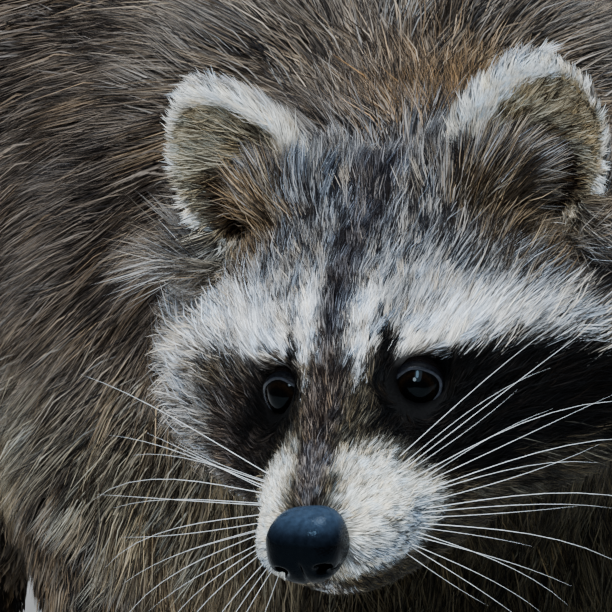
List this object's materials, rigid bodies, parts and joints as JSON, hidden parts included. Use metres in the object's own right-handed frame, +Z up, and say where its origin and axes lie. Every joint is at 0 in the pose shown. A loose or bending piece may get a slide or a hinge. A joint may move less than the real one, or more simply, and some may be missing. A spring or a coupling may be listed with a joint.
{
  "type": "raccoon",
  "caption": "Life-size still raccoon in winter coat, standing with its head lowered and turned to one side, for display or scenery.",
  "frame": {"origin": "middle of the model's footprint box, on the floor that the four paws stand on", "axes": "+Z up, the animal's front faces -Y, and +X is its left side"},
  "size_m": [0.2772, 0.8304, 0.3128],
  "materials": {
    "coat": "long grizzled grey-brown fur",
    "pale_coat": "short cream-white fur of the muzzle and chin",
    "tail_coat": "bushy fur with dark rings",
    "hide": "thin dark fur over bare dark skin on the paws",
    "nose_skin": "wet, finely pebbled black skin",
    "eye": "wet and glossy, almost black",
    "claw": "satin dark horn",
    "whisker": "stiff white hair"
  },
  "bodies": {
    "root": {"trunk": "coat", "neck": "coat", "head": "coat", "lower_jaw": "pale_coat", "nose": "nose_skin", "eye_left": "eye", "eye_right": "eye", "ear_left": "coat", "ear_right": "coat", "tail": "tail_coat", "foreleg_left": "coat", "foreleg_right": "coat", "hindleg_left": "coat", "hindleg_right": "coat", "forepaw_left": "hide", "forepaw_right": "hide", "hindpaw_left": "hide", "hindpaw_right": "hide", "claw_fore_left_1": "claw", "claw_fore_left_2": "claw", "claw_fore_left_3": "claw", "claw_fore_left_4": "claw", "claw_fore_left_5": "claw", "claw_fore_right_1": "claw", "claw_fore_right_2": "claw", "claw_fore_right_3": "claw", "claw_fore_right_4": "claw", "claw_fore_right_5": "claw", "claw_hind_left_1": "claw", "claw_hind_left_2": "claw", "claw_hind_left_3": "claw", "claw_hind_left_4": "claw", "claw_hind_left_5": "claw", "claw_hind_right_1": "claw", "claw_hind_right_2": "claw", "claw_hind_right_3": "claw", "claw_hind_right_4": "claw", "claw_hind_right_5": "claw"}
  },
  "joints": []
}
